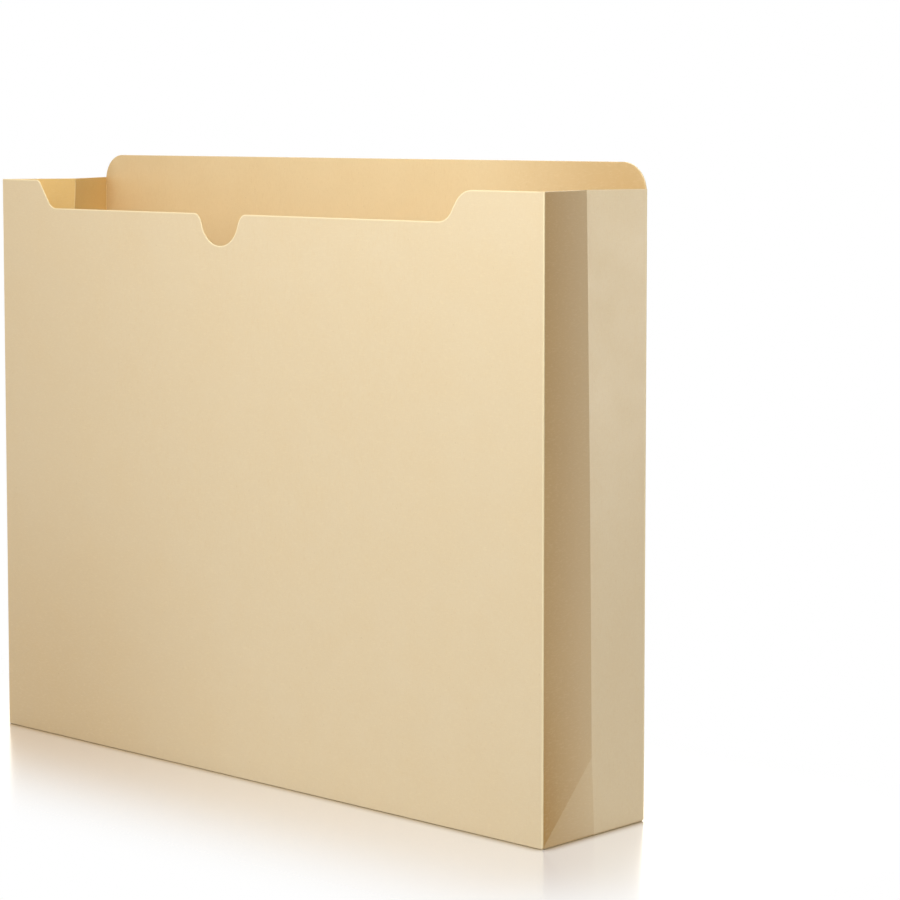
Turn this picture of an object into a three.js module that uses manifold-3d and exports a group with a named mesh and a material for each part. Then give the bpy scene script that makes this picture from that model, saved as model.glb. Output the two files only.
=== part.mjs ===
// A file jacket: a pocket of thin manila card, open at the top. Creases divide the card into flat
// facets. Both side gussets and the bottom have a crease along their middle, so the front panel can
// move back until the jacket lies flat. Every facet between two creases is a piece of its own here.
//
// Millimetres. X runs across the front to the right, Y from the front panel to the back panel, Z up.
// The origin is at the middle of the base.

import * as THREE from 'three';
import { mergeVertices } from 'three/addons/utils/BufferGeometryUtils.js';
import Module from 'manifold-3d';

const wasm = await Module();
wasm.setup();

// Overall sizes
const WIDTH = 298.45;
const DEPTH = 55.5;
const FRONT_HEIGHT = 228.6;
const BACK_HEIGHT = 238.1;

// The card, the film of glue, and the clearance between card layers and beside a crease
const CARD = 0.28;
const GLUE = 0.05;
const LAYER_GAP = 0.1;

// Top edge of the front panel: two ears, sloping shoulders and the lower edge between them
const EAR_RISE = 11.4;
const LEFT_EAR = 23.85;
const LEFT_SHOULDER_RUN = 8.05;
const LEFT_TOP_ROUND = 1.8;
const LEFT_FOOT_ROUND = 3.1;
const RIGHT_EAR = 38.85;
const RIGHT_SHOULDER_RUN = 6.95;
const RIGHT_TOP_ROUND = 5.6;
const RIGHT_FOOT_ROUND = 4.5;

// Thumb notch in the lower edge, measured from the left side of the panel. Its round part ends
// at this angle below the level of its centre, and the lips curve on from there to the edge.
const NOTCH_CENTRE = 132.8;
const NOTCH_RADIUS = 10.4;
const NOTCH_DEPTH = 12.3;
const NOTCH_LIP = 4.1;
const NOTCH_LIP_ANGLE = THREE.MathUtils.degToRad(17);

// Back panel and the second ply behind its tab
const BACK_CORNER_RADIUS = 10.6;
const PLY_HEIGHT = 25.4;

// Glue flaps of the side gussets, behind the back panel
const FLAP_WIDTH = 22;
const FLAP_TAPER = 6;
const FLAP_BELOW_PLY = 3;
const FLAP_FOOT = 4;

// Steps along each curve of an outline
const CURVE_STEPS = 12;

// Places that several pieces share
const SIDE = WIDTH / 2;
const FRONT_FACE = -(DEPTH + GLUE + CARD) / 2;
const BACK_FACE = FRONT_FACE + DEPTH;
const MIDDLE = FRONT_FACE + DEPTH / 2;

// Folded flat, the layers from a panel to the middle are the gusset half, the corner web and the
// bottom half. The bottom's creases stand this far inside the panels to leave room for them.
const GUSSET_SET_IN = LAYER_GAP;
const BOTTOM_SET_IN = 2 * CARD + 3 * LAYER_GAP;
const GUSSET_RUN = DEPTH / 2 - CARD - GUSSET_SET_IN;
const BOTTOM_RUN = DEPTH / 2 - CARD - BOTTOM_SET_IN;

// The mitre crease climbs at 45 degrees from the bottom corner to the middle crease
const MITRE_START = CARD + 2 * LAYER_GAP;

const card = new THREE.MeshStandardMaterial({ color: 0xe6cf9f, roughness: 0.85, metalness: 0 });
const gussetCard = new THREE.MeshStandardMaterial({ color: 0xd9c08f, roughness: 0.85, metalness: 0 });
const webCard = new THREE.MeshStandardMaterial({ color: 0xccb07c, roughness: 0.85, metalness: 0 });

// Outlines

function polygon(points) {
  return new THREE.Shape(points.map(([a, b]) => new THREE.Vector2(a, b)));
}

function rectangle(a0, b0, a1, b1) {
  return polygon([[a0, b0], [a1, b0], [a1, b1], [a0, b1]]);
}

// Line to a corner and round it, leaving towards the next point
function roundedCorner(shape, from, corner, to, round) {
  const before = new THREE.Vector2(...from).sub(new THREE.Vector2(...corner)).setLength(round);
  const after = new THREE.Vector2(...to).sub(new THREE.Vector2(...corner)).setLength(round);
  shape.lineTo(corner[0] + before.x, corner[1] + before.y);
  shape.quadraticCurveTo(corner[0], corner[1], corner[0] + after.x, corner[1] + after.y);
}

function frontOutline() {
  const low = FRONT_HEIGHT - EAR_RISE;
  const notchX = -SIDE + NOTCH_CENTRE;
  const notchZ = low - NOTCH_DEPTH + NOTCH_RADIUS;
  const leftTop = [-SIDE + LEFT_EAR, FRONT_HEIGHT];
  const leftFoot = [leftTop[0] + LEFT_SHOULDER_RUN, low];
  const rightTop = [SIDE - RIGHT_EAR, FRONT_HEIGHT];
  const rightFoot = [rightTop[0] - RIGHT_SHOULDER_RUN, low];
  const leftLip = [notchX - NOTCH_RADIUS - NOTCH_LIP, low];
  const rightLip = [notchX + NOTCH_RADIUS + NOTCH_LIP, low];
  const reach = NOTCH_RADIUS * Math.cos(NOTCH_LIP_ANGLE);
  const lipZ = notchZ - NOTCH_RADIUS * Math.sin(NOTCH_LIP_ANGLE);
  const bend = reach + (low - lipZ) * Math.tan(NOTCH_LIP_ANGLE);

  const shape = new THREE.Shape();
  shape.moveTo(-SIDE, 0);
  shape.lineTo(SIDE, 0);
  shape.lineTo(SIDE, FRONT_HEIGHT);
  roundedCorner(shape, [SIDE, FRONT_HEIGHT], rightTop, rightFoot, RIGHT_TOP_ROUND);
  roundedCorner(shape, rightTop, rightFoot, rightLip, RIGHT_FOOT_ROUND);
  shape.lineTo(...rightLip);
  shape.quadraticCurveTo(notchX + bend, low, notchX + reach, lipZ);
  shape.absarc(notchX, notchZ, NOTCH_RADIUS, -NOTCH_LIP_ANGLE, Math.PI + NOTCH_LIP_ANGLE, true);
  shape.quadraticCurveTo(notchX - bend, low, ...leftLip);
  roundedCorner(shape, leftLip, leftFoot, leftTop, LEFT_FOOT_ROUND);
  roundedCorner(shape, leftFoot, leftTop, [-SIDE, FRONT_HEIGHT], LEFT_TOP_ROUND);
  shape.lineTo(-SIDE, FRONT_HEIGHT);
  shape.closePath();
  return shape;
}

// The back panel and its second ply share the rounded top corners
function backOutline(bottom) {
  const side = SIDE - CARD - GLUE;
  const radius = BACK_CORNER_RADIUS;
  const shape = new THREE.Shape();
  shape.moveTo(-side, bottom);
  shape.lineTo(side, bottom);
  shape.lineTo(side, BACK_HEIGHT - radius);
  shape.absarc(side - radius, BACK_HEIGHT - radius, radius, 0, Math.PI / 2, false);
  shape.lineTo(-side + radius, BACK_HEIGHT);
  shape.absarc(-side + radius, BACK_HEIGHT - radius, radius, Math.PI / 2, Math.PI, false);
  shape.closePath();
  return shape;
}

// Plates of card, one for each way that a facet can face

function extruded(outline, thickness) {
  return new THREE.ExtrudeGeometry(outline, {
    depth: thickness,
    bevelEnabled: false,
    curveSegments: CURVE_STEPS,
  });
}

// Outline in X and Z, with the face nearest the front at frontY
function facingFront(outline, frontY, thickness = CARD) {
  const turn = new THREE.Matrix4().makeBasis(
    new THREE.Vector3(1, 0, 0),
    new THREE.Vector3(0, 0, 1),
    new THREE.Vector3(0, -1, 0),
  );
  return extruded(outline, thickness).applyMatrix4(turn).translate(0, frontY + thickness, 0);
}

// Outline in Y and Z, with the face of lowest X at lowX
function facingSide(outline, lowX, thickness = CARD) {
  const turn = new THREE.Matrix4().makeBasis(
    new THREE.Vector3(0, 1, 0),
    new THREE.Vector3(0, 0, 1),
    new THREE.Vector3(1, 0, 0),
  );
  return extruded(outline, thickness).applyMatrix4(turn).translate(lowX, 0, 0);
}

// Outline in X and Y, with its underside at lowZ
function lyingFlat(outline, lowZ, thickness = CARD) {
  return extruded(outline, thickness).translate(0, 0, lowZ);
}

function toManifold(geometry) {
  const bare = geometry.clone();
  bare.deleteAttribute('normal');
  bare.deleteAttribute('uv');
  const merged = mergeVertices(bare);
  return new wasm.Manifold(new wasm.Mesh({
    numProp: 3,
    vertProperties: merged.attributes.position.array,
    triVerts: new Uint32Array(merged.index.array),
  }));
}

function joined(first, second) {
  const mesh = toManifold(first).add(toManifold(second)).getMesh();
  const geometry = new THREE.BufferGeometry();
  geometry.setAttribute('position', new THREE.BufferAttribute(mesh.vertProperties, 3));
  geometry.setIndex(new THREE.BufferAttribute(mesh.triVerts, 1));
  geometry.computeVertexNormals();
  return geometry;
}

// Panels. The card rolls through a short fold from each panel into the bottom.

function frontPanel() {
  const fold = rectangle(-SIDE, FRONT_FACE + CARD / 2, SIDE, FRONT_FACE + CARD + BOTTOM_SET_IN - LAYER_GAP);
  return joined(facingFront(frontOutline(), FRONT_FACE), lyingFlat(fold, 0));
}

function backPanel() {
  const side = SIDE - CARD - GLUE;
  const fold = rectangle(-side, BACK_FACE - CARD - BOTTOM_SET_IN + LAYER_GAP, side, BACK_FACE - CARD / 2);
  return joined(facingFront(backOutline(0), BACK_FACE - CARD), lyingFlat(fold, 0));
}

function tabSecondPly() {
  return facingFront(backOutline(BACK_HEIGHT - PLY_HEIGHT), BACK_FACE + GLUE);
}

// The glue flap and the fold that brings it round the edge of the back panel. sign is 1 for the
// right side and -1 for the left.
function glueFlap(sign) {
  const outerEdge = sign * (SIDE - CARD / 2);
  const freeEdge = sign * (SIDE - FLAP_WIDTH);
  const top = BACK_HEIGHT - PLY_HEIGHT - FLAP_BELOW_PLY;
  const flap = polygon([
    [outerEdge, FLAP_FOOT],
    [freeEdge, FLAP_FOOT + FLAP_TAPER],
    [freeEdge, top - FLAP_TAPER],
    [outerEdge, top],
  ]);
  const fold = rectangle(BACK_FACE - CARD, 0, BACK_FACE + GLUE + CARD, FRONT_HEIGHT);
  const foldX = sign > 0 ? SIDE - CARD : -SIDE;
  return joined(facingFront(flap, BACK_FACE + GLUE), facingSide(fold, foldX));
}

// Gussets, bottom and corner webs. Outlines are written from the front panel towards the middle
// crease, and turned round for the half that joins the back panel.

function halfOutline(points, towardsBack) {
  const innerFace = CARD;
  return polygon(points.map(([run, z]) => [
    towardsBack ? BACK_FACE - innerFace - run : FRONT_FACE + innerFace + run,
    z,
  ]));
}

function sideX(sign) {
  return sign > 0 ? SIDE - CARD : -SIDE;
}

function gussetHalf(sign, towardsBack) {
  const start = GUSSET_SET_IN;
  const end = GUSSET_SET_IN + GUSSET_RUN - LAYER_GAP / 2;
  const outline = halfOutline([
    [start, MITRE_START],
    [end, MITRE_START + end - start],
    [end, FRONT_HEIGHT],
    [start, FRONT_HEIGHT],
  ], towardsBack);
  return facingSide(outline, sideX(sign));
}

function cornerWeb(sign, towardsBack) {
  const start = BOTTOM_SET_IN;
  const end = BOTTOM_SET_IN + BOTTOM_RUN - LAYER_GAP / 2;
  const foot = CARD + LAYER_GAP;
  const mitre = (run) => MITRE_START + run - GUSSET_SET_IN - LAYER_GAP;
  const outline = halfOutline([
    [start, foot],
    [end, foot],
    [end, mitre(end)],
    [start, mitre(start)],
  ], towardsBack);
  return facingSide(outline, sideX(sign));
}

function bottomHalf(towardsBack) {
  const start = BOTTOM_SET_IN;
  const end = BOTTOM_SET_IN + BOTTOM_RUN - LAYER_GAP / 2;
  const near = towardsBack ? BACK_FACE - CARD - start : FRONT_FACE + CARD + start;
  const far = towardsBack ? BACK_FACE - CARD - end : FRONT_FACE + CARD + end;
  return lyingFlat(rectangle(-SIDE, Math.min(near, far), SIDE, Math.max(near, far)), 0);
}

// The assembly

const jacket = new THREE.Group();

function add(name, geometry, material) {
  const mesh = new THREE.Mesh(geometry, material);
  mesh.name = name;
  jacket.add(mesh);
}

add('back_panel', backPanel(), card);
add('tab_second_ply', tabSecondPly(), card);
add('front_panel', frontPanel(), card);
add('bottom_rear_half', bottomHalf(true), card);
add('bottom_front_half', bottomHalf(false), card);

for (const [side, sign] of [['right', 1], ['left', -1]]) {
  add(`${side}_glue_flap`, glueFlap(sign), card);
  for (const [half, towardsBack] of [['rear', true], ['front', false]]) {
    add(`${side}_gusset_${half}_half`, gussetHalf(sign, towardsBack), gussetCard);
    add(`${side}_${half}_corner_web`, cornerWeb(sign, towardsBack), webCard);
  }
}

export default jacket;
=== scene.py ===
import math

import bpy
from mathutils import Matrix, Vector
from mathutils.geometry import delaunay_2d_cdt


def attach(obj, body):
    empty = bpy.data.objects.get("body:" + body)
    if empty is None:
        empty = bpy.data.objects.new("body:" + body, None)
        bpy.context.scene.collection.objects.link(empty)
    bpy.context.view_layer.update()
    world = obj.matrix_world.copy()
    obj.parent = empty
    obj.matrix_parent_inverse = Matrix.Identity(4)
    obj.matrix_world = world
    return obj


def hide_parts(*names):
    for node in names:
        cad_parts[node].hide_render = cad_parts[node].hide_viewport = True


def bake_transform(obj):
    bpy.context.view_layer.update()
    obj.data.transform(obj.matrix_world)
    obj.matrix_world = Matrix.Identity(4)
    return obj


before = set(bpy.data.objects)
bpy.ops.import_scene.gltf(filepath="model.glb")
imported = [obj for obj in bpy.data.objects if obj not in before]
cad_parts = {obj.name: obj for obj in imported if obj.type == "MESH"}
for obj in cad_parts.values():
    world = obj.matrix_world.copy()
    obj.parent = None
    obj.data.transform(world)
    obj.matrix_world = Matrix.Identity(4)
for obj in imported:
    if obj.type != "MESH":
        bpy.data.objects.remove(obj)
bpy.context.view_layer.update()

# Expanding file jacket of thin manila card, dressed over its CAD frame.
# Lengths are in millimetres until a mesh is made, then in metres. A place on the side or bottom of the
# jacket is given for one quarter of it and mirrored: x from the middle to the side, v from the middle
# plane out to the quarter's own panel, z up. side is -1 for left and 1 for right, and towards is -1 for
# the front and 1 for the rear.

MM = 0.001

# Card and the jacket's main sizes, as in the CAD
CARD = 0.28
HALF_CARD = CARD / 2
SIDE = 149.225
FRONT_HEIGHT = 228.6
BACK_HEIGHT = 238.1
MIDDLE = -0.165
EAR_RISE = 11.4
LEFT_EAR = 23.85
LEFT_SHOULDER_RUN = 8.05
LEFT_TOP_ROUND = 1.8
LEFT_FOOT_ROUND = 3.1
RIGHT_EAR = 38.85
RIGHT_SHOULDER_RUN = 6.95
RIGHT_TOP_ROUND = 5.6
RIGHT_FOOT_ROUND = 4.5
NOTCH_CENTRE = 132.8
NOTCH_RADIUS = 10.4
NOTCH_DEPTH = 12.3
NOTCH_LIP = 4.1
NOTCH_LIP_ANGLE = math.radians(17)
BACK_CORNER_RADIUS = 10.6
PLY_HEIGHT = 25.4
FLAP_WIDTH = 22.0
FLAP_TAPER = 6.0
FLAP_BELOW_PLY = 3.0
FLAP_FOOT = 4.0
FLAP_CORNER_ROUND = 2.0
SIDE_PLAY = 0.05
BACK_HALF_WIDTH = SIDE - CARD - SIDE_PLAY

# Folds: a small inner radius, and the hinge axes of the frame on the inside of the card
FOLD_INSIDE = 0.1
FOLD_MIDDLE = FOLD_INSIDE + HALF_CARD
FOLD_OUTSIDE = FOLD_INSIDE + CARD
FOLD_X = SIDE - FOLD_OUTSIDE
QUARTER_TURN = FOLD_MIDDLE * math.pi / 2
PANEL_V = 27.61
CORNER_AXIS_X = SIDE - CARD
CORNER_AXIS_V = 27.37
BOTTOM_AXIS_V = 26.61
WEB_AXIS_Z = 0.38
FLAP_V = 27.94
FLAP_FOLD_V = 27.70
MITRE_SUM = 27.80
STRIP_REACH = 0.15
STRIP_START_TURN = math.acos(STRIP_REACH / FOLD_MIDDLE)
STRIP_ARC = FOLD_MIDDLE * (math.pi / 2 - STRIP_START_TURN)
STRIP_LENGTH = STRIP_ARC + STRIP_REACH
STRIP_EDGE_X = FOLD_X + FOLD_MIDDLE * STRIP_START_TURN
LIP_LENGTH = CORNER_AXIS_V - BOTTOM_AXIS_V - STRIP_REACH

# Glue flap laid flat: a straight strip, a fold whose ends are cut back, then the flap
FLAP_STRAIGHT = FLAP_FOLD_V - CORNER_AXIS_V - STRIP_REACH
FLAP_FOLD_END = FLAP_STRAIGHT + QUARTER_TURN
FLAP_NECK = FLAP_STRAIGHT + 0.4 * QUARTER_TURN
FLAP_WEAR_AND_HIGHLIGHT_END = FLAP_STRAIGHT + 0.7 * QUARTER_TURN
FLAP_TOP = BACK_HEIGHT - PLY_HEIGHT - FLAP_BELOW_PLY
NECK_CUT = 0.8

# The middle crease of each gusset rests inward, more at the mouth than at the base. Each pair is for
# the base and the mouth, and smooth() makes it a share of a quarter turn.
PINCH = {-1: (0.12, 0.355), 1: (0.085, 0.20)}
NOSE_WIDTH = 1.2

# The panels rest bowed inward a little at the mouth
BOW_DEPTH = 0.7
BOW_HALF_WIDTH = 115.0
BOW_FOOT = 30.0

# Mesh detail: a cut edge is rounded by rings, each with its depth inward and its height in half cards
CURVE_STEPS = 14
EDGE_BAND = 0.6
CUT_RIM = [(0.07, 1.0), (0.022, 0.82), (0.0, 0.45), (0.0, -0.45), (0.022, -0.82), (0.07, -1.0)]
JOIN_RIM_SHARE = 0.17
SHARP_ANGLE = math.radians(25)
MERGE_DISTANCE = 1e-5
NEARLY_STRAIGHT = 0.05
GRID_STAGGER = 0.25
GRID_MARGIN_SHARE = 0.35
PANEL_STEP = 6.0
BOTTOM_STEP = 5.0
FLAP_STEP = 4.0
CORNER_STEP = 4.0
GUSSET_STEP = 3.0
WEB_STEP = 2.5

# How far mesh lines along a fold end before the piece's edge
JOIN_END_GAP = 0.1
CUT_END_GAP = 0.12
WIDE_END_GAP = 0.15
FLAP_TOP_GAP = 0.35

# Small gaps that keep neighbouring edges apart
CORNER_FOOT_RISE = 0.1
BOTTOM_MIDDLE_GAP = 0.02


# Outlines, as lists of points with the kind of the side that leads to the next point

def quadratic(start, corner, end):
    """Points on the curve from start to end, without its last point."""
    points = []
    for step in range(CURVE_STEPS):
        t = step / CURVE_STEPS
        a, b, c = (1 - t) ** 2, 2 * t * (1 - t), t * t
        points.append(tuple(a * p + b * q + c * r for p, q, r in zip(start, corner, end)))
    return points


def rounded(before, corner, after, size):
    """Points that round a corner, both ends included."""
    here = Vector(corner)
    start = here + (Vector(before) - here).normalized() * size
    end = here + (Vector(after) - here).normalized() * size
    return quadratic(tuple(start), corner, tuple(end)) + [tuple(end)]


def arc(centre, radius, first, last):
    """Points on an arc between two angles in degrees, both ends included."""
    points = []
    for step in range(2 * CURVE_STEPS + 1):
        angle = math.radians(first + (last - first) * step / (2 * CURVE_STEPS))
        points.append((centre[0] + radius * math.cos(angle), centre[1] + radius * math.sin(angle)))
    return points


def marked(points, kind):
    return [(point, kind) for point in points]


def front_top():
    """Cut top edge of the front panel from its right side to its left side."""
    low = FRONT_HEIGHT - EAR_RISE
    notch_x = -SIDE + NOTCH_CENTRE
    notch_z = low - NOTCH_DEPTH + NOTCH_RADIUS
    right_top = (SIDE - RIGHT_EAR, FRONT_HEIGHT)
    right_foot = (right_top[0] - RIGHT_SHOULDER_RUN, low)
    left_top = (-SIDE + LEFT_EAR, FRONT_HEIGHT)
    left_foot = (left_top[0] + LEFT_SHOULDER_RUN, low)
    right_lip = (notch_x + NOTCH_RADIUS + NOTCH_LIP, low)
    left_lip = (notch_x - NOTCH_RADIUS - NOTCH_LIP, low)
    reach = NOTCH_RADIUS * math.cos(NOTCH_LIP_ANGLE)
    lip_z = notch_z - NOTCH_RADIUS * math.sin(NOTCH_LIP_ANGLE)
    bend = reach + (low - lip_z) * math.tan(NOTCH_LIP_ANGLE)
    lip_degrees = math.degrees(NOTCH_LIP_ANGLE)
    points = [(STRIP_EDGE_X, FRONT_HEIGHT)]
    points += rounded((SIDE, FRONT_HEIGHT), right_top, right_foot, RIGHT_TOP_ROUND)
    points += rounded(right_top, right_foot, right_lip, RIGHT_FOOT_ROUND)
    points += quadratic(right_lip, (notch_x + bend, low), (notch_x + reach, lip_z))
    points += arc((notch_x, notch_z), NOTCH_RADIUS, -lip_degrees, lip_degrees - 180)[:-1]
    points += quadratic((notch_x - reach, lip_z), (notch_x - bend, low), left_lip)
    points.append(left_lip)
    points += rounded(left_lip, left_foot, left_top, LEFT_FOOT_ROUND)
    points += rounded(left_foot, left_top, (-SIDE, FRONT_HEIGHT), LEFT_TOP_ROUND)
    points.append((-STRIP_EDGE_X, FRONT_HEIGHT))
    return points


def panel_foot():
    """Sides of a panel's lip under the jacket, from its left to its right."""
    roll_end = FOLD_OUTSIDE - QUARTER_TURN
    lip_end = roll_end - LIP_LENGTH
    return (
        marked([(-FOLD_X, roll_end)], "cut")
        + marked([(-FOLD_X, lip_end)], "join")
        + marked([(FOLD_X, lip_end), (FOLD_X, roll_end)], "cut")
    )


def front_outline():
    top = front_top()
    return (
        panel_foot()
        + marked([(STRIP_EDGE_X, FOLD_OUTSIDE)], "join")
        + marked(top[:-1], "cut")
        + marked([top[-1]], "join")
        + marked([(-STRIP_EDGE_X, FOLD_OUTSIDE)], "cut")
    )


def back_top():
    """Right side, top and left side of the back with its rounded top corners."""
    x = BACK_HALF_WIDTH - BACK_CORNER_RADIUS
    z = BACK_HEIGHT - BACK_CORNER_RADIUS
    return arc((x, z), BACK_CORNER_RADIUS, 0, 90) + arc((-x, z), BACK_CORNER_RADIUS, 90, 180)


def back_outline():
    sides = [(BACK_HALF_WIDTH, FOLD_OUTSIDE)] + back_top() + [(-BACK_HALF_WIDTH, FOLD_OUTSIDE)]
    return panel_foot() + marked(sides, "cut")


def ply_outline():
    foot = BACK_HEIGHT - PLY_HEIGHT
    return marked([(-BACK_HALF_WIDTH, foot), (BACK_HALF_WIDTH, foot)] + back_top(), "cut")


def flap_outline():
    """Return strip and glue flap, laid flat from the strip's joined edge at 0 to the flap's free edge."""
    free = FLAP_FOLD_END + FOLD_X - (SIDE - FLAP_WIDTH)
    low_inner, low_outer = (FLAP_FOLD_END, FLAP_FOOT), (free, FLAP_FOOT + FLAP_TAPER)
    high_inner, high_outer = (FLAP_FOLD_END, FLAP_TOP), (free, FLAP_TOP - FLAP_TAPER)
    points = [(0.0, FOLD_OUTSIDE), (FLAP_NECK, FOLD_OUTSIDE), (FLAP_NECK, FLAP_FOOT - NECK_CUT), low_inner]
    points += rounded(low_inner, low_outer, (free, FLAP_TOP), FLAP_CORNER_ROUND)
    points += rounded((free, FLAP_FOOT), high_outer, high_inner, FLAP_CORNER_ROUND)
    points += [high_inner, (FLAP_NECK, FLAP_TOP + NECK_CUT), (FLAP_NECK, FRONT_HEIGHT)]
    return marked(points, "cut") + marked([(0.0, FRONT_HEIGHT)], "join")


# Meshes

def divided(outline, step):
    """The outline with no side longer than step."""
    result = []
    for index, (point, kind) in enumerate(outline):
        start, end = Vector(point), Vector(outline[(index + 1) % len(outline)][0])
        parts = max(1, math.ceil((end - start).length / step))
        result += [(tuple(start.lerp(end, part / parts)), kind) for part in range(parts)]
    return result


def inset(points, distances):
    """A closed counter-clockwise outline with each side moved inward by its own distance."""
    moved = []
    for index, point in enumerate(points):
        here = Vector(point)
        along_before = (here - Vector(points[index - 1])).normalized()
        along_after = (Vector(points[(index + 1) % len(points)]) - here).normalized()
        n1 = Vector((-along_before.y, along_before.x))
        n2 = Vector((-along_after.y, along_after.x))
        d1, d2 = distances[index - 1], distances[index]
        det = n1.x * n2.y - n1.y * n2.x
        if abs(det) < NEARLY_STRAIGHT:
            offset = (n1 + n2).normalized() * (d1 + d2) / 2
        else:
            offset = Vector(((d1 * n2.y - d2 * n1.y) / det, (n1.x * d2 - n2.x * d1) / det))
        moved.append(tuple(here + offset))
    return moved


def is_inside(point, points):
    x, y = point
    inside = False
    for index, (x1, y1) in enumerate(points):
        x0, y0 = points[index - 1]
        if (y0 > y) != (y1 > y) and x < x0 + (y - y0) * (x1 - x0) / (y1 - y0):
            inside = not inside
    return inside


def grid_points(points, step, margin):
    """Points of a staggered grid that lie well inside an outline."""
    inner = inset(points, [margin] * len(points))
    low = [min(p[k] for p in points) for k in (0, 1)]
    high = [max(p[k] for p in points) for k in (0, 1)]
    counts = [max(1, round((high[k] - low[k]) / step)) for k in (0, 1)]
    found = []
    for i in range(1, counts[0]):
        for j in range(1, counts[1]):
            shift = GRID_STAGGER if j % 2 else -GRID_STAGGER
            a = low[0] + (high[0] - low[0]) * (i + shift) / counts[0]
            b = low[1] + (high[1] - low[1]) * j / counts[1]
            if is_inside((a, b), inner):
                found.append((a, b))
    return found


def line_points(start, end, step):
    a, b = Vector(start), Vector(end)
    parts = max(1, math.ceil((b - a).length / step))
    return [tuple(a.lerp(b, part / parts)) for part in range(parts + 1)]


def upright_lines(places, low, high):
    """Mesh lines along b at each place a."""
    return [((a, low), (a, high)) for a in places]


def level_lines(places, left, right):
    """Mesh lines along a at each place b."""
    return [((left, b), (right, b)) for b in places]


def surface_mesh(points, rim, lines, step, banded):
    """Triangles over one face of an outline, within its rim: flat points, faces and the rim's indices."""
    count = len(rim)
    flat = list(rim)
    edges = []
    if banded:
        flat += inset(points, [EDGE_BAND] * count)
        edges += [(count + i, count + (i + 1) % count) for i in range(count)]
        flat += grid_points(points, step, EDGE_BAND + step * GRID_MARGIN_SHARE)
    for start, end in lines:
        first = len(flat)
        crease = line_points(start, end, step)
        flat += crease
        edges += [(first + i, first + i + 1) for i in range(len(crease) - 1)]
    outer_face = [list(range(count))]
    solved = delaunay_2d_cdt([Vector(p) for p in flat], edges, outer_face, 1, MERGE_DISTANCE, True)
    surface, origins = solved[0], solved[3]
    triangles = [tuple(face) for face, within in zip(solved[2], solved[5]) if within]
    index_of = {source: index for index, sources in enumerate(origins) for source in sources}
    return surface, triangles, [index_of[i] for i in range(count)]


def joined_rows(rows):
    """Faces between each closed row of vertices and the next."""
    count = len(rows[0])
    faces = []
    for upper, lower in zip(rows, rows[1:]):
        for i in range(count):
            j = (i + 1) % count
            faces.append((upper[j], upper[i], lower[i], lower[j]))
    return faces


def turn_outward(mesh):
    """Makes the faces of a closed mesh look outward."""
    volume = 0.0
    for polygon in mesh.polygons:
        a = mesh.vertices[polygon.vertices[0]].co
        for k in range(1, len(polygon.vertices) - 1):
            b = mesh.vertices[polygon.vertices[k]].co
            c = mesh.vertices[polygon.vertices[k + 1]].co
            volume += a.dot(b.cross(c))
    if volume < 0:
        mesh.flip_normals()


def mesh_object(name, vertices, faces, painted):
    """Smooth object of a mesh in millimetres. painted has a number for each vertex by attribute name."""
    mesh = bpy.data.meshes.new(name)
    mesh.from_pydata([Vector(v) * MM for v in vertices], [], faces)
    for attribute, values in painted.items():
        mesh.attributes.new(attribute, "FLOAT", "POINT").data.foreach_set("value", values)
    piece = bpy.data.objects.new(name, mesh)
    bpy.context.scene.collection.objects.link(piece)
    turn_outward(mesh)
    mesh.polygons.foreach_set("use_smooth", [True] * len(mesh.polygons))
    mesh.set_sharp_from_angle(angle=SHARP_ANGLE)
    mesh.update()
    return piece


def nowhere(a, b):
    return 0.0


def card_piece(
    name, outline, place, step, lines=(), banded=True, wear_and_highlight_at=nowhere, inner_wear_and_highlight=0.15, edge_wear_and_highlight=0.3,
    painted_shade=nowhere, inner_painted_shade=nowhere,
):
    """Card of full thickness over an outline, with rounded cut edges.

    place(a, b, h) gives the point at height h above the middle of the card. lines are creases that
    the mesh follows. worn(a, b) says from 0 to 1 how far wear and a painted highlight pale the outer
    face there, inner_wear_and_highlight is the inner face's share of that, and edge_wear_and_highlight is
    for the cut edges, paled as raw fibre and by a painted highlight. tanned(a, b) says how far painted shade
    darkens the outer face, and inner_painted_shade(a, b) the inner face."""
    sides = divided(outline, step)
    points = [point for point, kind in sides]
    count = len(points)
    shares = [1.0 if kind == "cut" else JOIN_RIM_SHARE for point, kind in sides]
    at_cut = ["cut" in (sides[i][1], sides[i - 1][1]) for i in range(count)]
    rings = [inset(points, [depth * share for share in shares]) for depth, height in CUT_RIM]
    surface, triangles, border = surface_mesh(points, rings[0], lines, step, banded)
    offset = len(surface)

    vertices = [place(p.x, p.y, HALF_CARD) for p in surface]
    vertices += [place(p.x, p.y, -HALF_CARD) for p in surface]
    faces = list(triangles)
    faces += [tuple(offset + corner for corner in reversed(face)) for face in triangles]
    outer_share = [1.0] * offset + [0.0] * offset
    darkened = [painted_shade(p.x, p.y) for p in surface] + [inner_painted_shade(p.x, p.y) for p in surface]
    wear_and_highlight = [wear_and_highlight_at(p.x, p.y) for p in surface]
    wear_and_highlight += [inner_wear_and_highlight * value for value in wear_and_highlight]
    for index, cut in zip(border, at_cut):
        if cut:
            wear_and_highlight[index] = wear_and_highlight[offset + index] = edge_wear_and_highlight

    rows = [border]
    for (depth, height), ring in list(zip(CUT_RIM, rings))[1:-1]:
        rows.append(list(range(len(vertices), len(vertices) + count)))
        vertices += [place(a, b, height * HALF_CARD) for a, b in ring]
        outer_share += [(1 + height) / 2] * count
        darkened += [0.0] * count
        wear_and_highlight += [edge_wear_and_highlight if cut else 0.0 for cut in at_cut]
    rows.append([offset + index for index in border])
    faces += joined_rows(rows)
    return mesh_object(name, vertices, faces, {"outer_share": outer_share, "painted_shade": darkened, "wear_and_highlight": wear_and_highlight})


# Where the card is, for panels, flaps, gussets and bottom

def smooth(t):
    t = min(max(t, 0.0), 1.0)
    return t * t * (3 - 2 * t)


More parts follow.
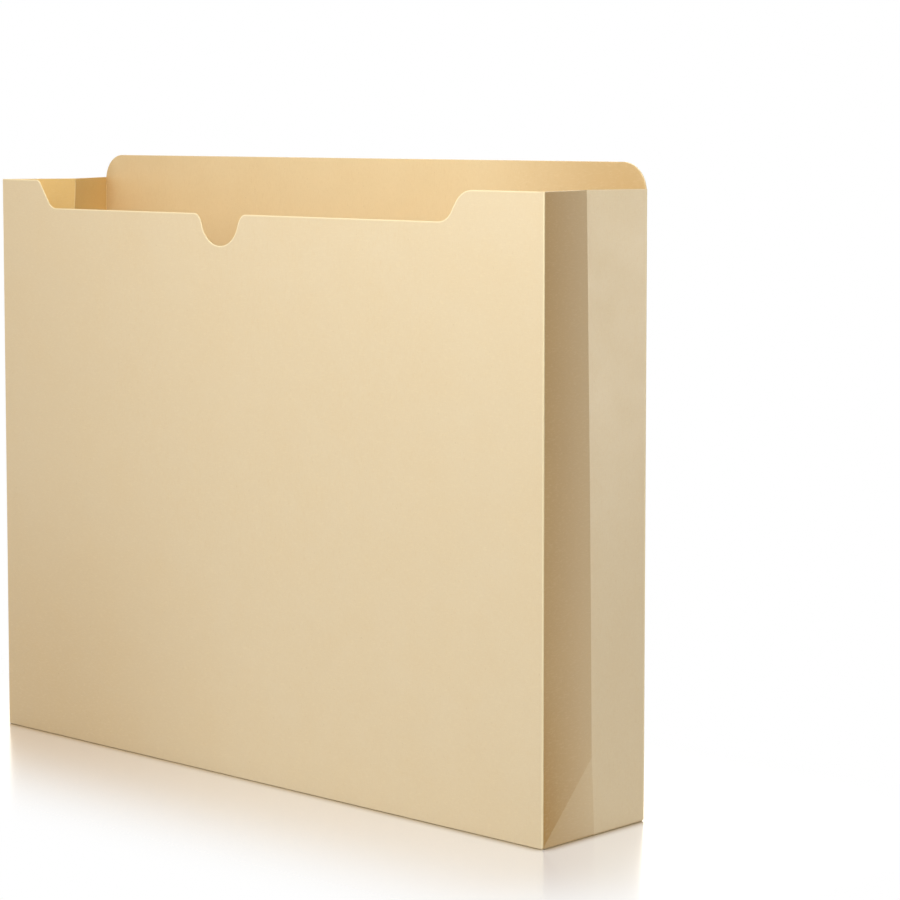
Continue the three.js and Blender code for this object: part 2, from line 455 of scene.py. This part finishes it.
def tilt(side, z):
    """Angle between a gusset half and the jacket's side at height z, as the card rests."""
    at_base, at_mouth = PINCH[side]
    return math.pi / 2 * smooth(at_base + (at_mouth - at_base) * z / FRONT_HEIGHT)


def bow(x, z, height):
    across = smooth(1 - abs(x) / BOW_HALF_WIDTH)
    up = smooth((z - BOW_FOOT) / (height - BOW_FOOT))
    return BOW_DEPTH * across * up


def panel_place(towards, fold_x, height):
    """Front or back panel: flat, round the fold at its foot and, beyond fold_x, round its side fold."""
    def place(a, b, h):
        beside = max(abs(a) - fold_x, 0.0)
        below = max(FOLD_OUTSIDE - b, 0.0)
        x, z = math.copysign(min(abs(a), fold_x), a), max(b, FOLD_OUTSIDE)
        length = beside + below
        if length == 0:
            return (x, MIDDLE + towards * (PANEL_V + h - bow(a, b, height)), z)
        if length <= QUARTER_TURN:
            turn = length / FOLD_MIDDLE
            radius = FOLD_MIDDLE + h
            x += math.copysign(math.sin(turn) * radius * beside / length, a)
            z -= math.sin(turn) * radius * below / length
            return (x, MIDDLE + towards * (CORNER_AXIS_V + radius * math.cos(turn)), z)
        return (x, MIDDLE + towards * (CORNER_AXIS_V - length + QUARTER_TURN), HALF_CARD - h)
    return place


def ply_place(a, b, h):
    return (a, MIDDLE + FLAP_V + h - bow(a, b, BACK_HEIGHT), b)


def flap_place(side):
    """Return strip beside the back panel, then the fold, then the flap behind the panel."""
    def place(a, b, h):
        radius = FOLD_MIDDLE + h
        if a <= FLAP_STRAIGHT:
            x, v = FOLD_X + radius, CORNER_AXIS_V + STRIP_REACH + a
        elif a <= FLAP_FOLD_END:
            turn = (a - FLAP_STRAIGHT) / FOLD_MIDDLE
            x, v = FOLD_X + radius * math.cos(turn), FLAP_FOLD_V + radius * math.sin(turn)
        else:
            x, v = FOLD_X - (a - FLAP_FOLD_END), FLAP_V + h
        return (side * x, MIDDLE + v, b)
    return place


def gusset_place(side, towards):
    """Gusset half: a is v and b is z."""
    def place(a, b, h):
        angle = tilt(side, b)
        x = CORNER_AXIS_X + HALF_CARD / math.cos(angle) - (CORNER_AXIS_V - a) * math.tan(angle)
        x += h * math.cos(angle)
        v = a - h * math.sin(angle)
        return (side * x, MIDDLE + towards * v, b)
    return place


def web_place(side, towards):
    """Corner web: a is v and b is z. It leans inward from the bottom's side crease."""
    def place(a, b, h):
        angle = tilt(side, b)
        x = CORNER_AXIS_X + HALF_CARD / math.cos(angle) - (b - WEB_AXIS_Z) * math.tan(angle)
        x += h * math.cos(angle)
        return (side * x, MIDDLE + towards * a, b + h * math.sin(angle))
    return place


def corner_fold_place(side, towards):
    """Strip across a vertical corner crease: a is the length from the panel's side of it, b is z."""
    def place(a, b, h):
        radius = FOLD_MIDDLE + h
        if towards < 0 and a < STRIP_ARC:
            turn = STRIP_START_TURN + a / FOLD_MIDDLE
            x, v = FOLD_X + radius * math.sin(turn), CORNER_AXIS_V + radius * math.cos(turn)
        else:
            length = a - (STRIP_ARC if towards < 0 else STRIP_REACH)
            x = FOLD_X + radius - max(length, 0.0) * math.tan(tilt(side, b))
            v = CORNER_AXIS_V - length
        return (side * x, MIDDLE + towards * v, b)
    return place


def bottom_place(towards):
    """Bottom half with its side folds: a is x and b is v."""
    def place(a, b, h):
        turn = max(abs(a) - FOLD_X, 0.0) / FOLD_MIDDLE
        radius = FOLD_MIDDLE + h
        x = math.copysign(min(abs(a), FOLD_X) + math.sin(turn) * radius, a)
        return (x, MIDDLE + towards * b, FOLD_OUTSIDE - math.cos(turn) * radius)
    return place


def web_fold_place(side, towards):
    """Strip across the crease between bottom and web: a is v, b is the length from the bottom."""
    def place(a, b, h):
        radius = FOLD_MIDDLE + h
        if b < STRIP_ARC:
            turn = STRIP_START_TURN + b / FOLD_MIDDLE
            x, z = FOLD_X + radius * math.sin(turn), WEB_AXIS_Z - radius * math.cos(turn)
        else:
            z = WEB_AXIS_Z + b - STRIP_ARC
            x = FOLD_X + radius - (b - STRIP_ARC) * math.tan(tilt(side, z))
        return (side * x, MIDDLE + towards * a, z)
    return place


# Shader nodes

def feed(tree, socket, value):
    """Links a node's output to a socket, or sets the socket to a value."""
    if isinstance(value, bpy.types.NodeSocket):
        tree.links.new(value, socket)
    else:
        socket.default_value = value


def math_node(tree, operation, *values):
    node = tree.nodes.new("ShaderNodeMath")
    node.operation = operation
    for socket, value in zip(node.inputs, values):
        feed(tree, socket, value)
    return node.outputs["Value"]


def ranged(tree, value, low, high, to_low, to_high, kind="LINEAR"):
    """The value carried from one range to another."""
    node = tree.nodes.new("ShaderNodeMapRange")
    node.interpolation_type = kind
    feed(tree, node.inputs["Value"], value)
    for name, limit in (("From Min", low), ("From Max", high), ("To Min", to_low), ("To Max", to_high)):
        node.inputs[name].default_value = limit
    return node.outputs["Result"]


def mixed(tree, factor, first, second):
    """A colour between two others."""
    node = tree.nodes.new("ShaderNodeMix")
    node.data_type = "RGBA"
    feed(tree, node.inputs["Factor"], factor)
    colours = [socket for socket in node.inputs if socket.type == "RGBA"]
    for socket, value in zip(colours, (first, second)):
        feed(tree, socket, value)
    return [socket for socket in node.outputs if socket.type == "RGBA"][0]


def mixed_shaders(tree, factor, first, second):
    node = tree.nodes.new("ShaderNodeMixShader")
    for socket, value in zip(node.inputs, (factor, first, second)):
        feed(tree, socket, value)
    return node.outputs["Shader"]


def srgb(red, green, blue):
    """Linear colour of a colour given from 0 to 255."""
    channels = []
    for value in (red, green, blue):
        c = value / 255
        channels.append(c / 12.92 if c <= 0.04045 else ((c + 0.055) / 1.055) ** 2.4)
    return (*channels, 1.0)


# Manila card

OUTER = srgb(223, 202, 169)
GUSSET_OUTER = srgb(226, 206, 173)
# The inner faces are warmer and brighter than the outer ones, which paints the light bounced inside the
# pocket
BOUNCE_LIT_INNER = srgb(235, 200, 134)
BOUNCE_LIT_PANEL_INNER = srgb(238, 211, 165)
# Painted shade
PAINTED_SHADE = srgb(178, 135, 64)
FIBRE = srgb(214, 178, 120)
# Pale cream for pale fibres, for wear, and for painted highlights along edges and folds
PALE_FIBRE_WEAR_AND_HIGHLIGHT = srgb(250, 232, 192)
SPECK = srgb(160, 122, 72)
NOISE_ROUGHNESS = 0.6
TOOTH_SHARE = 0.35
BUMP_STRENGTH = 0.22
BUMP_DEPTH = 0.00005
CLOUD_RANGE = (0.3, 0.7)
SMOOTHER = -0.03
ROUGHER = 0.04

# Each noise: waves per metre, detail, and how it is stretched along x, y and z
NOISES = {
    "cloud": (55.0, 4.0, (1.0, 1.0, 1.0)),
    "tooth": (4200.0, 3.0, (1.0, 1.0, 1.0)),
    "fibres up": (2400.0, 2.0, (1.0, 1.0, 0.22)),
    "fibres across": (2400.0, 2.0, (0.22, 0.22, 1.0)),
    "specks": (1100.0, 1.0, (1.0, 1.0, 1.0)),
}

# Tones laid on in turn: source of each, the two values between which it grows, its most, its colour
TONES = [
    # The first row lays on painted shade, and the last the paleness of wear with a painted highlight
    ("painted_shade", (0.0, 1.0), 1.0, PAINTED_SHADE),
    ("cloud", CLOUD_RANGE, 0.1, FIBRE),
    ("fibres up", (0.5, 0.72), 0.16, FIBRE),
    ("fibres across", (0.52, 0.72), 0.1, PALE_FIBRE_WEAR_AND_HIGHLIGHT),
    ("specks", (0.755, 0.79), 0.15, SPECK),
    ("wear_and_highlight", (0.1, 0.9), 0.9, PALE_FIBRE_WEAR_AND_HIGHLIGHT),
]


def manila(name, face, bounce_lit_inner, roughness):
    """Pale buff card: painted bounce light on the inner face, painted shade, cloudy formation, short fibres,
    specks, wear and painted highlight on edges and folds, fine tooth.
    """
    material = bpy.data.materials.new(name)
    material.use_nodes = True
    tree = material.node_tree
    shader = tree.nodes["Principled BSDF"]
    place = tree.nodes.new("ShaderNodeTexCoord").outputs["Object"]

    def noise(scale, detail, stretch):
        mapping = tree.nodes.new("ShaderNodeMapping")
        feed(tree, mapping.inputs["Vector"], place)
        feed(tree, mapping.inputs["Scale"], stretch)
        texture = tree.nodes.new("ShaderNodeTexNoise")
        feed(tree, texture.inputs["Vector"], mapping.outputs["Vector"])
        feed(tree, texture.inputs["Scale"], scale)
        feed(tree, texture.inputs["Detail"], detail)
        feed(tree, texture.inputs["Roughness"], NOISE_ROUGHNESS)
        return texture.outputs["Fac"]

    def painted(attribute):
        node = tree.nodes.new("ShaderNodeAttribute")
        node.attribute_name = attribute
        return node.outputs["Fac"]

    sources = {word: noise(*settings) for word, settings in NOISES.items()}
    sources["painted_shade"] = painted("painted_shade")
    sources["wear_and_highlight"] = painted("wear_and_highlight")
    colour = mixed(tree, painted("outer_share"), bounce_lit_inner, face)
    for word, (low, high), most, tone in TONES:
        colour = mixed(tree, ranged(tree, sources[word], low, high, 0.0, most), colour, tone)
    feed(tree, shader.inputs["Base Color"], colour)
    polish = ranged(tree, sources["cloud"], *CLOUD_RANGE, roughness + SMOOTHER, roughness + ROUGHER)
    feed(tree, shader.inputs["Roughness"], polish)

    bump = tree.nodes.new("ShaderNodeBump")
    height = math_node(tree, "MULTIPLY_ADD", sources["tooth"], TOOTH_SHARE, sources["fibres up"])
    feed(tree, bump.inputs["Height"], height)
    feed(tree, bump.inputs["Strength"], BUMP_STRENGTH)
    feed(tree, bump.inputs["Distance"], BUMP_DEPTH)
    feed(tree, shader.inputs["Normal"], bump.outputs["Normal"])
    return material


MATERIALS = {
    "panel_card": manila("Manila card, panels", OUTER, BOUNCE_LIT_PANEL_INNER, 0.4),
    "flap_card": manila("Manila card, flaps", OUTER, BOUNCE_LIT_INNER, 0.42),
    "gusset_card": manila("Manila card, gussets", GUSSET_OUTER, BOUNCE_LIT_INNER, 0.36),
    "bottom_card": manila("Manila card, bottom", OUTER, BOUNCE_LIT_INNER, 0.42),
}


# Where wear and a painted highlight make the card paler, and where painted shade makes it darker: amounts
# from 0 to 1, and reaches in millimetres

FOLD_WEAR_AND_HIGHLIGHT = 0.9
FLAP_WEAR_AND_HIGHLIGHT = 0.7
CREASE_HIGHLIGHT = 0.6
FRONT_SHADE, FRONT_FOOT_SHADE, FRONT_FOOT_REACH = 0.07, 0.27, 130.0
FRONT_SHADE_END = 0.15
BACK_LEFT_SHADE, BACK_LEFT_REACH = 0.12, 70.0
BACK_CORNER_SHADE, BACK_CORNER_REACH = 0.38, 7.5
BACK_RIGHT_SHADE, BACK_RIGHT_REACH = 0.55, 90.0
GUSSET_CREASE_SHADE, GUSSET_CORNER_SHADE = 0.37, 0.4
GUSSET_FOOT_SHADE, GUSSET_FOOT_REACH = 0.24, 70.0
WEB_CREASE_SHADE, WEB_CORNER_SHADE = 0.22, 0.5
WEB_FOLD_SHADE = {-1: 0.65, 1: 0.3}


def front_fold_wear_and_highlight(a, b):
    """The side folds, just beyond the flat front, are paled by wear and a painted highlight."""
    return FOLD_WEAR_AND_HIGHLIGHT if abs(a) > FOLD_X + 0.001 else 0.0


def front_painted_shade(a, b):
    """Painted shade darkens the left half of the front, most at its foot."""
    amount = FRONT_SHADE + FRONT_FOOT_SHADE * smooth(1 - b / FRONT_FOOT_REACH)
    return amount * smooth(FRONT_SHADE_END - a / SIDE)


def back_inner_painted_shade(a, b):
    """Painted shade darkens the inner face of the back towards its two sides, and near its left corner."""
    from_left, from_right = SIDE + a, SIDE - a
    return (
        BACK_CORNER_SHADE * smooth(1 - from_left / BACK_CORNER_REACH)
        + BACK_LEFT_SHADE * smooth(1 - from_left / BACK_LEFT_REACH)
        + BACK_RIGHT_SHADE * smooth(1 - from_right / BACK_RIGHT_REACH)
    )


def gusset_painted_shade(a, b):
    """Painted shade darkens a front gusset half, most at its lower corner beside the front panel."""
    amount = GUSSET_CORNER_SHADE + GUSSET_FOOT_SHADE * smooth(1 - b / GUSSET_FOOT_REACH)
    return GUSSET_CREASE_SHADE + amount * a / CORNER_AXIS_V


# Painted shade on a front corner web, deeper towards the front panel
def web_painted_shade(a, b):
    return WEB_CREASE_SHADE + WEB_CORNER_SHADE * a / CORNER_AXIS_V


# The flap's fold is paled by wear and a painted highlight
def flap_fold_wear_and_highlight(a, b):
    return FLAP_WEAR_AND_HIGHLIGHT if a < FLAP_WEAR_AND_HIGHLIGHT_END else 0.0


# A painted highlight along the left gusset's middle crease, on both faces
def left_crease_highlight(a, b):
    return CREASE_HIGHLIGHT if a < NOSE_WIDTH / 4 else 0.0


# What every piece gets

def finished(piece, slot, replaced=()):
    piece.data.materials.append(MATERIALS[slot])
    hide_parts(*replaced)


def blended(piece):
    """Bakes the piece's place into its mesh."""
    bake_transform(piece)


def pinch_blend(piece):
    """A piece that leans by tilt(side, z), with its place baked into its mesh as in blended."""
    blended(piece)


def nose_blend(piece):
    """As pinch_blend, for the strip beside the middle crease."""
    blended(piece)


# Panels and second ply

FOOT_LINES = level_lines(
    [FOLD_OUTSIDE - QUARTER_TURN * k / 5 for k in range(6)], -FOLD_X + JOIN_END_GAP, FOLD_X - JOIN_END_GAP,
)
SIDE_FOLD_PLACES = [
    side * (FOLD_X + FOLD_MIDDLE * STRIP_START_TURN * k / 4) for side in (-1, 1) for k in range(4)
]


def build_front():
    side_lines = upright_lines(SIDE_FOLD_PLACES, FOLD_OUTSIDE + JOIN_END_GAP, FRONT_HEIGHT - CUT_END_GAP)
    piece = card_piece(
        "front_panel_card", front_outline(), panel_place(-1, FOLD_X, FRONT_HEIGHT), PANEL_STEP,
        FOOT_LINES + side_lines, wear_and_highlight_at=front_fold_wear_and_highlight, edge_wear_and_highlight=1.0, painted_shade=front_painted_shade,
    )
    finished(piece, "panel_card", ["front_panel"])
    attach(piece, "front")


def build_back():
    piece = card_piece(
        "back_panel_card", back_outline(), panel_place(1, SIDE, BACK_HEIGHT), PANEL_STEP, FOOT_LINES,
        inner_painted_shade=back_inner_painted_shade,
    )
    finished(piece, "panel_card", ["back_panel"])
    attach(piece, "back")


def build_ply():
    piece = card_piece("tab_second_ply_card", ply_outline(), ply_place, PANEL_STEP)
    finished(piece, "flap_card", ["tab_second_ply"])
    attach(piece, "back")


# Glue flaps

def build_flap(word, side):
    places = [FLAP_STRAIGHT + QUARTER_TURN * k / 5 for k in range(6)]
    lines = upright_lines(places[:2], FOLD_OUTSIDE + WIDE_END_GAP, FRONT_HEIGHT - WIDE_END_GAP)
    lines += upright_lines(places[2:], FLAP_FOOT + WIDE_END_GAP, FLAP_TOP - FLAP_TOP_GAP)
    piece = card_piece(
        f"{word}_glue_flap_card", flap_outline(), flap_place(side), FLAP_STEP, lines, banded=False,
        wear_and_highlight_at=flap_fold_wear_and_highlight, edge_wear_and_highlight=0.0,
    )
    finished(piece, "flap_card", [f"{word}_glue_flap"])
    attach(piece, "back")


# Gussets and corner webs, one quarter of the jacket at a time

GUSSET_EDGE_V = CORNER_AXIS_V - STRIP_REACH
WEB_EDGE_Z = WEB_AXIS_Z + STRIP_REACH
WEB_CORNER = (BOTTOM_AXIS_V, MITRE_SUM - BOTTOM_AXIS_V)


def build_corner_fold(name, side, towards):
    """Strip of card that bends where the gusset meets its panel."""
    length = STRIP_LENGTH if towards < 0 else 2 * STRIP_REACH
    outline = (
        marked([(0, FOLD_OUTSIDE + CORNER_FOOT_RISE)], "cut")
        + marked([(length, FOLD_OUTSIDE + 2 * CORNER_FOOT_RISE)], "join")
        + marked([(length, FRONT_HEIGHT)], "cut")
        + marked([(0, FRONT_HEIGHT)], "join")
    )
    places = [length * k / 6 for k in range(1, 6)]
    lines = upright_lines(places, FOLD_OUTSIDE + 4 * CORNER_FOOT_RISE, FRONT_HEIGHT - CUT_END_GAP)
    piece = card_piece(
        f"{name}_corner_fold", outline, corner_fold_place(side, towards), CORNER_STEP, lines,
        # The corner fold is pale all over, from wear and a painted highlight
        banded=False, wear_and_highlight_at=lambda a, b: FOLD_WEAR_AND_HIGHLIGHT,
    )
    finished(piece, "gusset_card")
    blended(piece)


def build_gusset_half(name, side, towards, node):
    outline = (
        marked([(NOSE_WIDTH, MITRE_SUM - NOSE_WIDTH), WEB_CORNER], "join")
        + marked([(BOTTOM_AXIS_V, WEB_EDGE_Z), (GUSSET_EDGE_V, WEB_EDGE_Z)], "join")
        + marked([(GUSSET_EDGE_V, FRONT_HEIGHT)], "cut")
        + marked([(NOSE_WIDTH, FRONT_HEIGHT)], "join")
    )
    piece = card_piece(
        f"{name}_gusset_card", outline, gusset_place(side, towards), GUSSET_STEP,
        painted_shade=gusset_painted_shade if towards < 0 else nowhere,
    )
    finished(piece, "gusset_card", [node])
    pinch_blend(piece)


def build_gusset_crease(name, side, towards):
    """Strip of the gusset half beside its middle crease."""
    outline = (
        marked([(0, MITRE_SUM), (NOSE_WIDTH, MITRE_SUM - NOSE_WIDTH)], "join")
        + marked([(NOSE_WIDTH, FRONT_HEIGHT)], "cut")
        + marked([(0, FRONT_HEIGHT)], "join")
    )
    places = [NOSE_WIDTH * k / 4 for k in (1, 2, 3)]
    piece = card_piece(
        f"{name}_gusset_crease", outline, gusset_place(side, towards), GUSSET_STEP,
        upright_lines(places, MITRE_SUM + JOIN_END_GAP, FRONT_HEIGHT - CUT_END_GAP), banded=False,
        wear_and_highlight_at=left_crease_highlight if side < 0 else nowhere, inner_wear_and_highlight=1.0, edge_wear_and_highlight=0.0,
        painted_shade=gusset_painted_shade if towards < 0 else nowhere,
    )
    finished(piece, "gusset_card")
    nose_blend(piece)


def build_web(name, side, towards):
    """Corner web below the mitre crease."""
    outline = marked([(0, WEB_EDGE_Z), (BOTTOM_AXIS_V, WEB_EDGE_Z), WEB_CORNER, (0, MITRE_SUM)], "join")
    piece = card_piece(
        f"{name}_web_card", outline, web_place(side, towards), WEB_STEP,
        painted_shade=web_painted_shade if towards < 0 else nowhere,
    )
    finished(piece, "gusset_card", [f"{name}_corner_web"])
    pinch_blend(piece)


def build_web_fold(name, side, towards):
    """Strip of card that bends where the web meets the bottom."""
    outline = (
        marked([(0, 0)], "join")
        + marked([(BOTTOM_AXIS_V, 0)], "cut")
        + marked([(BOTTOM_AXIS_V, STRIP_LENGTH), (0, STRIP_LENGTH)], "join")
    )
    places = [STRIP_LENGTH * k / 6 for k in range(1, 6)]
    piece = card_piece(
        f"{name}_web_fold", outline, web_fold_place(side, towards), GUSSET_STEP,
        level_lines(places, JOIN_END_GAP, BOTTOM_AXIS_V - CUT_END_GAP), banded=False,
        # Painted shade on the fold strip under a web, deeper at the front
        edge_wear_and_highlight=0.0, painted_shade=lambda a, b: WEB_FOLD_SHADE[towards],
    )
    finished(piece, "gusset_card")
    blended(piece)


def build_quarter(side_word, side, half_word, towards):
    name = f"{side_word}_{half_word}"
    gusset_body = f"{side_word}_gusset_{half_word}"
    build_corner_fold(name, side, towards)
    build_gusset_half(name, side, towards, f"{gusset_body}_half")
    build_gusset_crease(name, side, towards)
    build_web(name, side, towards)
    build_web_fold(name, side, towards)


# Bottom

def build_bottom_fold(body, towards):
    """Strip of card that bends where a bottom half meets its panel."""
    near, far = BOTTOM_AXIS_V + STRIP_REACH, BOTTOM_AXIS_V - STRIP_REACH
    outline = marked([(-FOLD_X, far), (FOLD_X, far), (FOLD_X, near), (-FOLD_X, near)], "join")
    places = [far + 2 * STRIP_REACH * k / 5 for k in range(1, 5)]
    piece = card_piece(
        f"{body}_fold", outline, bottom_place(towards), PANEL_STEP,
        level_lines(places, -FOLD_X + JOIN_END_GAP, FOLD_X - JOIN_END_GAP), banded=False,
    )
    finished(piece, "bottom_card")
    blended(piece)


def build_bottom_half(body, towards):
    near, far = BOTTOM_MIDDLE_GAP, BOTTOM_AXIS_V - STRIP_REACH
    corners = [(-STRIP_EDGE_X, near), (STRIP_EDGE_X, near), (STRIP_EDGE_X, far), (-STRIP_EDGE_X, far)]
    lines = upright_lines(SIDE_FOLD_PLACES, WIDE_END_GAP, far - CUT_END_GAP)
    piece = card_piece(f"{body}_card", marked(corners, "join"), bottom_place(towards), BOTTOM_STEP, lines)
    finished(piece, "bottom_card", [f"{body}_half"])
    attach(piece, body)


def build_jacket():
    sides = (("left", -1), ("right", 1))
    build_front()
    build_back()
    build_ply()
    for side_word, side in sides:
        build_flap(side_word, side)
    for half_word, towards in (("front", -1), ("rear", 1)):
        build_bottom_fold(f"bottom_{half_word}", towards)
        build_bottom_half(f"bottom_{half_word}", towards)
        for side_word, side in sides:
            build_quarter(side_word, side, half_word, towards)


# Camera: place in metres, turn and downward look in degrees, lens and sensor in millimetres. Its view
# is shifted down, so that the jacket's upright edges stay nearly upright.

CAMERA_PLACE = (0.77728, -0.74319, 0.25334)
CAMERA_TURN = 43.217
CAMERA_DOWN = 4.576
CAMERA_LENS = 111.43
CAMERA_SENSOR = 36.0
CAMERA_SHIFT = -0.12
CAMERA_REACH = (0.05, 20.0)


def make_camera():
    data = bpy.data.cameras.new("Camera")
    data.sensor_width = CAMERA_SENSOR
    data.lens = CAMERA_LENS
    data.shift_y = CAMERA_SHIFT
    data.clip_start, data.clip_end = CAMERA_REACH
    camera = bpy.data.objects.new("Camera", data)
    camera.location = CAMERA_PLACE
    camera.rotation_euler = (math.radians(90 - CAMERA_DOWN), 0.0, math.radians(CAMERA_TURN))
    bpy.context.scene.collection.objects.link(camera)
    bpy.context.scene.camera = camera


# Floor, in metres: its reflection and its shade fade with the distance from the jacket's foot

FLOOR_SIZE = 8.0
FLOOR_DROP = 0.00005
FLOOR_TONE = (0.79, 0.8, 0.82, 1.0)
FOOT_HALF_WIDTH = 0.149
FOOT_HALF_DEPTH = 0.0278
REFLECTION_AT_FOOT = 0.76
REFLECTION_AT_RIGHT = 0.62
REFLECTION_HALF_RUN = 0.15
REFLECTION_REACH = 0.11
REFLECTION_TONE = (1.0, 0.93, 0.82, 1.0)
REFLECTION_BLUR = 0.2
GLOW_AT_FOOT = 0.9
GLOW_REACH = 0.12
CONTACT_REACH = 0.005
CONTACT_SHADOW_TONE = srgb(120, 100, 62)
GLOSS_SHARE = 0.2


def beyond(tree, coordinate, reach):
    """How far a place lies outside a strip of the given half width."""
    outside = math_node(tree, "SUBTRACT", math_node(tree, "ABSOLUTE", coordinate), reach)
    return math_node(tree, "MAXIMUM", outside, 0.0)


def painted_contact_shadow(tree):
    """White, with a painted contact shadow close to what stands on the floor."""
    contact = tree.nodes.new("ShaderNodeAmbientOcclusion")
    contact.samples = 8
    contact.inputs["Distance"].default_value = CONTACT_REACH
    shade = tree.nodes.new("ShaderNodeValToRGB")
    shade.color_ramp.elements[0].position = 0.5
    shade.color_ramp.elements[0].color = CONTACT_SHADOW_TONE
    feed(tree, shade.inputs["Fac"], contact.outputs["AO"])
    return shade.outputs["Color"]


def floor_material():
    """Pale floor that is nearly white to the camera, and mirrors the jacket to the camera only."""
    material = bpy.data.materials.new("Floor")
    material.use_nodes = True
    tree = material.node_tree
    tree.nodes.remove(tree.nodes["Principled BSDF"])
    split = tree.nodes.new("ShaderNodeSeparateXYZ")
    feed(tree, split.inputs["Vector"], tree.nodes.new("ShaderNodeTexCoord").outputs["Object"])
    path = tree.nodes.new("ShaderNodeLightPath")
    for_camera = path.outputs["Is Camera Ray"]
    beyond_x = beyond(tree, split.outputs["X"], FOOT_HALF_WIDTH)
    beyond_y = beyond(tree, split.outputs["Y"], FOOT_HALF_DEPTH)
    squares = [math_node(tree, "POWER", length, 2.0) for length in (beyond_x, beyond_y)]
    distance = math_node(tree, "SQRT", math_node(tree, "ADD", *squares))

    diffuse = tree.nodes.new("ShaderNodeBsdfDiffuse")
    diffuse.inputs["Color"].default_value = FLOOR_TONE
    white = tree.nodes.new("ShaderNodeEmission")
    feed(tree, white.inputs["Color"], painted_contact_shadow(tree))
    in_gloss = math_node(tree, "MULTIPLY", path.outputs["Is Glossy Ray"], GLOSS_SHARE)
    seen = math_node(tree, "MAXIMUM", for_camera, in_gloss)
    seen = math_node(tree, "MAXIMUM", seen, path.outputs["Is Transmission Ray"])
    glow = ranged(tree, distance, 0.0, GLOW_REACH, GLOW_AT_FOOT, 1.0, "SMOOTHSTEP")
    glow = math_node(tree, "MULTIPLY", seen, glow)
    bright = mixed_shaders(tree, glow, diffuse.outputs["BSDF"], white.outputs["Emission"])

    mirror = tree.nodes.new("ShaderNodeBsdfGlossy")
    mirror.inputs["Color"].default_value = REFLECTION_TONE
    mirror.inputs["Roughness"].default_value = REFLECTION_BLUR
    fade = ranged(tree, distance, 0.0, REFLECTION_REACH, REFLECTION_AT_FOOT, 0.0, "SMOOTHERSTEP")
    run = REFLECTION_HALF_RUN
    across = ranged(tree, split.outputs["X"], -run, run, 1.0, REFLECTION_AT_RIGHT)
    share = math_node(tree, "MULTIPLY", math_node(tree, "MULTIPLY", fade, across), for_camera)
    whole = mixed_shaders(tree, share, bright, mirror.outputs["BSDF"])
    feed(tree, tree.nodes["Material Output"].inputs["Surface"], whole)
    return material


def make_floor():
    half = FLOOR_SIZE / 2
    mesh = bpy.data.meshes.new("Floor")
    corners = [(-half, -half, 0), (half, -half, 0), (half, half, 0), (-half, half, 0)]
    mesh.from_pydata(corners, [], [(0, 1, 2, 3)])
    mesh.materials.append(floor_material())
    floor = bpy.data.objects.new("Floor", mesh)
    bpy.context.scene.collection.objects.link(floor)
    floor.location.z = -FLOOR_DROP


# Light: azimuth from the front towards the right and elevation in degrees, distance and size in
# metres, colour in watts

LAMP_CENTRE = Vector((0.03, 0.0, 0.13))
LAMPS = [
    ("Front right", 25, 42, 0.65, 0.3, (2.78, 2.94, 2.96)),
    ("Front left", -20, 25, 0.6, 0.3, (0.62, 0.58, 0.52)),
    ("Over the mouth", 63, 67, 0.6, 0.3, (0.72, 0.65, 0.42)),
    ("Rear right", 121, 0, 1.1, 0.3, (1.85, 1.73, 1.55)),
    ("Back", 200, 25, 0.9, 0.5, (3.9, 3.8, 3.6)),
    ("Left", -105, 20, 0.9, 0.5, (1.2, 1.15, 1.05)),
]
FILL_TONE = (1.0, 0.96, 0.87, 1.0)
FILL_STRENGTH = 0.225


def make_lamp(name, azimuth, elevation, distance, size, colour):
    """Square lamp that looks at the jacket."""
    data = bpy.data.lights.new(name, "AREA")
    data.size = size
    data.energy = max(colour)
    data.color = [channel / max(colour) for channel in colour]
    light = bpy.data.objects.new(name, data)
    a, e = math.radians(azimuth), math.radians(elevation)
    away = Vector((math.sin(a) * math.cos(e), -math.cos(a) * math.cos(e), math.sin(e)))
    light.location = LAMP_CENTRE + distance * away
    light.rotation_euler = (-away).to_track_quat("-Z", "Y").to_euler()
    bpy.context.scene.collection.objects.link(light)


def make_world():
    """White where it is seen or mirrored, and a soft warm fill for all other light."""
    world = bpy.data.worlds.new("Studio")
    world.use_nodes = True
    tree = world.node_tree
    fill = tree.nodes["Background"]
    fill.inputs["Color"].default_value = FILL_TONE
    fill.inputs["Strength"].default_value = FILL_STRENGTH
    white = tree.nodes.new("ShaderNodeBackground")
    white.inputs["Color"].default_value = (1.0, 1.0, 1.0, 1.0)
    path = tree.nodes.new("ShaderNodeLightPath")
    seen = path.outputs["Is Camera Ray"]
    for other in ("Is Glossy Ray", "Is Transmission Ray"):
        seen = math_node(tree, "MAXIMUM", seen, path.outputs[other])
    whole = mixed_shaders(tree, seen, fill.outputs["Background"], white.outputs["Background"])
    feed(tree, tree.nodes["World Output"].inputs["Surface"], whole)
    bpy.context.scene.world = world


build_jacket()
make_camera()
make_floor()
make_world()
for settings in LAMPS:
    make_lamp(*settings)
bpy.context.scene.view_settings.view_transform = "Standard"
